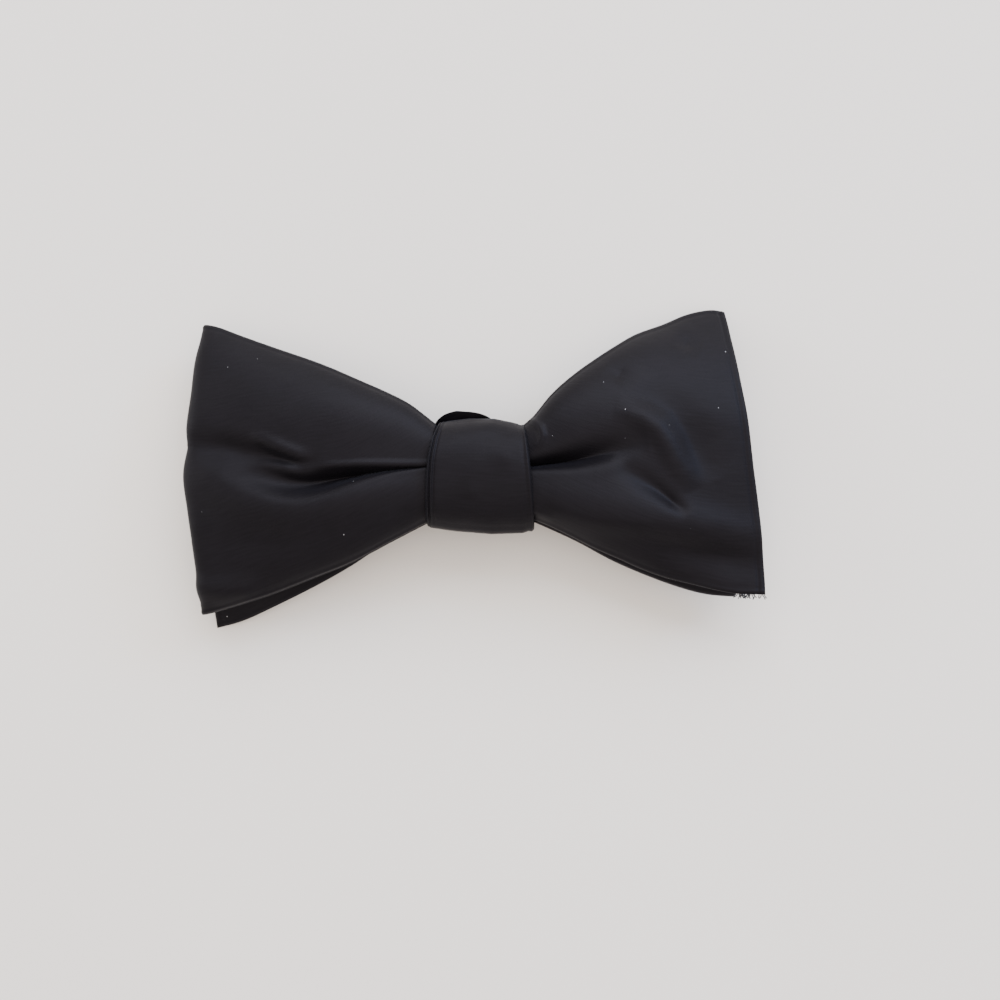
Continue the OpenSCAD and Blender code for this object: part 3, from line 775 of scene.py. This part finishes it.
def seam_rows():
    """Slanted hand stitches that close the wrap along its lower rear edge."""
    rows = []
    for i in range(SEAM_STITCHES):
        ring = knot_ring(0.1 + 0.1 * i, -0.06)
        far = np.hypot(ring[:, 1] + SEAM_LOW, ring[:, 2] - KNOT_MID + SEAM_BACK)
        at = ring[np.argmin(far)]
        rows.append((at + [-0.45, 0.1, -0.5], at + [0.45, -0.05, 0.5]))
    return rows


seam = stitches("knot_seam_hand_stitches", seam_rows())
for o, names, slot_name in ((knot, ["knot_wrap"], "satin"), (lining, ["knot_lining"], "interlining"),
                            (tail, [], "satin"), (seam, ["knot_seam_stitches"], "thread")):
    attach(o, "bow_centre")
    if names:
        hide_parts(*names)

# The wings, whose inner ends lie inside the knot: each one's transform is baked into its mesh, and its CAD
# nodes are hidden.
for o, body, side, names, flat, area in (
        (front_left, "left_wings", -1, ["front_left_loop", "front_left_interlining"],
         (0.062, 0.112), 0.0048),
        (rear_left, "left_wings", -1, ["rear_left_end", "rear_left_interlining"],
         (0.062, 0.052), 0.0021),
        (front_right, "right_wings", 1, ["front_right_end", "front_right_interlining"],
         (0.062, 0.052), 0.0023),
        (rear_right, "right_wings", 1, ["rear_right_loop", "rear_right_interlining"],
         (0.058, 0.098), 0.0038)):
    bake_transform(o)
    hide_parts(*names)

# ---------------------------------------------------------------- neckband
BAND_HALF = (band_high[1] - band_low[1]) / 2
PLY = band_high[2] - band_low[2]


def half_circle(x, z_from, z_to, side, points=14):
    """Points of a half turn from one level to another, bulging to the right for side 1."""
    mid, r = (z_from + z_to) / 2, (z_from - z_to) / 2
    return [(x + side * abs(r) * math.sin(a), mid + r * math.cos(a)) for a in np.linspace(0, math.pi, points)]


def straight(x_from, x_to, z, step=2.0, seed=None):
    """Points of a straight run, with hardly any waviness."""
    n = max(3, int(abs(x_to - x_from) / step) + 1)
    xs = np.linspace(x_from, x_to, n)
    lift = np.zeros(n)
    if seed is not None:
        lift = 0.03 * (1 + np.sin(xs / 5.3 + seed)) * np.sin(math.pi * np.linspace(0, 1, n))
    return list(zip(xs, z + lift))


def strap(name, path, body=None, node=None, thick=PLY, half=BAND_HALF):
    """A flat double-layer strap of satin along path, (x, z) points of its middle, with pressed edges."""
    path = np.asarray(path, float)
    along = unit(np.gradient(path, axis=0))
    normal = np.column_stack([-along[:, 1], along[:, 0]])
    a = np.linspace(0, 2 * math.pi, 44, endpoint=False)
    c, s = np.cos(a), np.sin(a)
    y = np.sign(c) * np.abs(c) ** 0.16 * half
    h = np.sign(s) * np.abs(s) ** 0.42
    rolled = 1 - 0.16 * bell(half - np.abs(y), 1.5, 0.4)      # thinner beside each edge
    off = thick / 2 * h * rolled
    rings = [np.column_stack([x + normal[i, 0] * off, y, z + normal[i, 1] * off])
             for i, (x, z) in enumerate(path)]
    o = tube(name, np.array(rings), SATIN_BAND)
    for face in o.data.polygons:
        if len(face.vertices) > 4:
            face.use_smooth = False
    if body:
        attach(o, body)
    if node:
        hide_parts(node)
    return o


def level(node):
    """The height of the middle of a CAD node's box."""
    low, high = box_mm(node)
    return (low[2] + high[2]) / 2


centre_z, second_z, third_z = (level("neckband_%s" % n) for n in ("centre_run", "run_2", "run_3"))
fourth_z, return_z = level("neckband_run_4"), level("adjuster_return_ply")
FOLD_RIGHT, EYE_X = band_high[0], band_low[0]
FOLD_LEFT = box_mm("neckband_run_2")[0][0]
HOOK_X = box_mm("neckband_run_4")[0][0]
return_low, return_high = box_mm("adjuster_return_ply")
tab_low, tab_high = box_mm("slider_end_tab")
eye_low, eye_high = box_mm("eye_end_loop")
feed_end = box_mm("hook_end_feed")[1][0]

LEAD = 0.2            # each fold runs on this far over the ends of the runs that it joins
centre_run = strap("neckband_centre", straight(EYE_X, FOLD_RIGHT - LEAD, centre_z, seed=1),
                   "bow_centre", "neckband_centre_run")
eye_tail_z = eye_low[2] + PLY / 2
eye_loop = strap("neckband_eye_end", half_circle(EYE_X, centre_z, eye_tail_z, -1)
                 + straight(EYE_X, eye_high[0], eye_tail_z)[1:], "bow_centre", "eye_end_loop")
run_2 = strap("neckband_second_run", straight(FOLD_RIGHT - LEAD, FOLD_LEFT + LEAD, second_z, seed=2),
              "band_second_run", "neckband_run_2")
run_3 = strap("neckband_third_run", straight(FOLD_LEFT + LEAD, FOLD_RIGHT - LEAD, third_z, seed=4),
              "band_third_run", "neckband_run_3")
run_4 = strap("neckband_fourth_run", straight(FOLD_RIGHT - LEAD, HOOK_X, fourth_z, seed=5),
              "band_fourth_run", "neckband_run_4")
for name, x, z_from, z_to, side, node, bodies in (
        ("neckband_first_fold", FOLD_RIGHT, centre_z, second_z, 1, "neckband_fold_1",
         ("bow_centre", "band_second_run")),
        ("neckband_second_fold", FOLD_LEFT, second_z, third_z, -1, "neckband_fold_2",
         ("band_second_run", "band_third_run")),
        ("neckband_third_fold", FOLD_RIGHT, third_z, fourth_z, 1, "neckband_fold_3",
         ("band_third_run", "band_fourth_run"))):
    inner = x - side * LEAD
    o = strap(name, [(inner, z_from)] + half_circle(x, z_from, z_to, side) + [(inner, z_to)])
    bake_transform(o)
    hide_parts(node)
hook_loop = strap("neckband_hook_end", half_circle(HOOK_X, fourth_z, return_z, -1),
                  "hook_end", "hook_end_loop")
feed = strap("neckband_feed", straight(HOOK_X, feed_end, fourth_z), "hook_end", "hook_end_feed",
             thick=PLY * 0.8, half=BAND_HALF - 0.12)
return_ply = strap("neckband_return_layer", straight(return_high[0], HOOK_X, return_z, seed=7), "slider",
                   "adjuster_return_ply")
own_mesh(return_ply)
tab_z = tab_high[2] - PLY / 2      # the strap goes round the slider's middle bar and comes back above it
tab_x = tab_high[0] - PLY / 2 - (tab_z - return_z) / 2
end_tab = strap("neckband_slider_end", straight(tab_low[0] + 1, tab_x, return_z)
                + half_circle(tab_x, return_z, tab_z, 1)[1:] + straight(tab_x, tab_low[0], tab_z)[1:],
                "slider", "slider_end_tab")

TACK_STITCHES, TACK_STEP = 11, 1.5
TACK_RISE = 0.02      # a stitch's middle lies this far out of the cloth


def tack_rows(x_from, x_to, z):
    """A row of slanted stitches across the neckband."""
    ys = (np.arange(TACK_STITCHES) - (TACK_STITCHES - 1) / 2) * TACK_STEP
    return [((x_from, y - 0.45, z), (x_to, y + 0.45, z)) for y in ys]


eye_rows = tack_rows(EYE_X + 3.6, EYE_X + 4.4, eye_tail_z - PLY / 2 - TACK_RISE)
eye_tack = stitches("eye_end_tack_stitches", eye_rows, 0.11)
slider_rows = tack_rows(tab_low[0] + 1.6, tab_low[0] + 2.4, tab_z + PLY / 2 + TACK_RISE)
slider_tack = stitches("slider_end_tack_stitches", slider_rows, 0.1)
for o, body in ((eye_tack, "bow_centre"), (slider_tack, "slider")):
    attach(o, body)

# ---------------------------------------------------------------- frayed thread at the lower right corner
HAIRS, HAIR_PARTS = 26, 4
LOWER_EDGE = -24.9
THICK_FRAY, THIN_FRAY, THICK_SHARE = (50.9, 53.6), (53.6, 56.6), 0.7      # two stretches of the lower edge


def frayed_hairs(blade):
    """Short parts of bent fibres that hang from the blade's lower edge, close to its corner."""
    random = np.random.default_rng(5)
    points = np.array([tuple(v.co) for v in blade.data.vertices]) / MM
    parts = []
    for _ in range(HAIRS):
        stretch = THICK_FRAY if random.random() < THICK_SHARE else THIN_FRAY
        x = random.uniform(*stretch)
        start = points[np.argmin(np.hypot(points[:, 0] - x, points[:, 1] - LOWER_EDGE))]
        angle = random.uniform(-2.6, -0.6)
        for _ in range(HAIR_PARTS):
            way = np.array([math.cos(angle), math.sin(angle), random.uniform(-0.5, 0.3)])
            end = start + way * random.uniform(0.15, 0.34)
            parts.append((start, end))
            start = end
            angle += random.uniform(-0.5, 0.5)
    return parts


frayed = stitches("frayed_corner_threads", frayed_hairs(front_right), 0.11)
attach(frayed, "right_wings")

# ---------------------------------------------------------------- CAD pieces that stay: finishes only
FINISHES = {"eye_ring": NICKEL, "hook": NICKEL, "slider_frame": NICKEL,
            "binding_thread": THREAD, "eye_bar_tack": THREAD, "slider_bar_tack": THREAD}
for node, material in FINISHES.items():
    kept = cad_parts[node].data
    kept.materials.clear()
    kept.materials.append(material)

# ---------------------------------------------------------------- floor and light
def pale_floor():
    m, n, l, s = nodes_of("pale_floor")
    grain = noise(n, l, object_place(n), 6)
    l.new(two_tones(n, l, (0.90, 0.85, 0.79), (0.94, 0.89, 0.83), grain), s.inputs["Base Color"])
    s.inputs["Roughness"].default_value = 0.8
    return m


FLOOR_SIZE, FLOOR_GAP = 6, 0.00002
bpy.ops.mesh.primitive_plane_add(size=FLOOR_SIZE, location=(0, 0, -FLOOR_GAP))
floor = bpy.context.object
floor.name = "floor"
floor.data.materials.append(pale_floor())


def lamp(name, at, target, size, power, colour):
    """A rectangular lamp that faces target."""
    light = bpy.data.lights.new(name, "AREA")
    light.shape = "RECTANGLE"
    light.size, light.size_y = size
    light.energy = power
    light.color = colour
    o = bpy.data.objects.new(name, light)
    bpy.context.scene.collection.objects.link(o)
    aim = Vector(target) - Vector(at)
    o.location = at
    o.rotation_euler = aim.to_track_quat("-Z", "Y").to_euler()


lamp("window", (0.30, 1.00, 0.90), (0, 0, 0.01), (1.70, 1.00), 30.0, (0.84, 0.90, 1.0))
lamp("room", (0.20, -0.15, 1.30), (0, 0, 0.01), (1.60, 1.20), 7.0, (1.0, 0.90, 0.86))
lamp("sky", (0.90, 0.60, 0.55), (0.03, 0, 0.01), (0.30, 0.30), 5.0, (0.22, 0.50, 1.0))
lamp("side", (-1.10, 0.25, 0.40), (0, 0, 0.01), (0.70, 0.40), 5.0, (0.92, 0.95, 1.0))
world = bpy.data.worlds.new("studio")
world.use_nodes = True
world.node_tree.nodes["Background"].inputs["Color"].default_value = (1.0, 0.93, 0.87, 1)
world.node_tree.nodes["Background"].inputs["Strength"].default_value = 1.15
bpy.context.scene.world = world
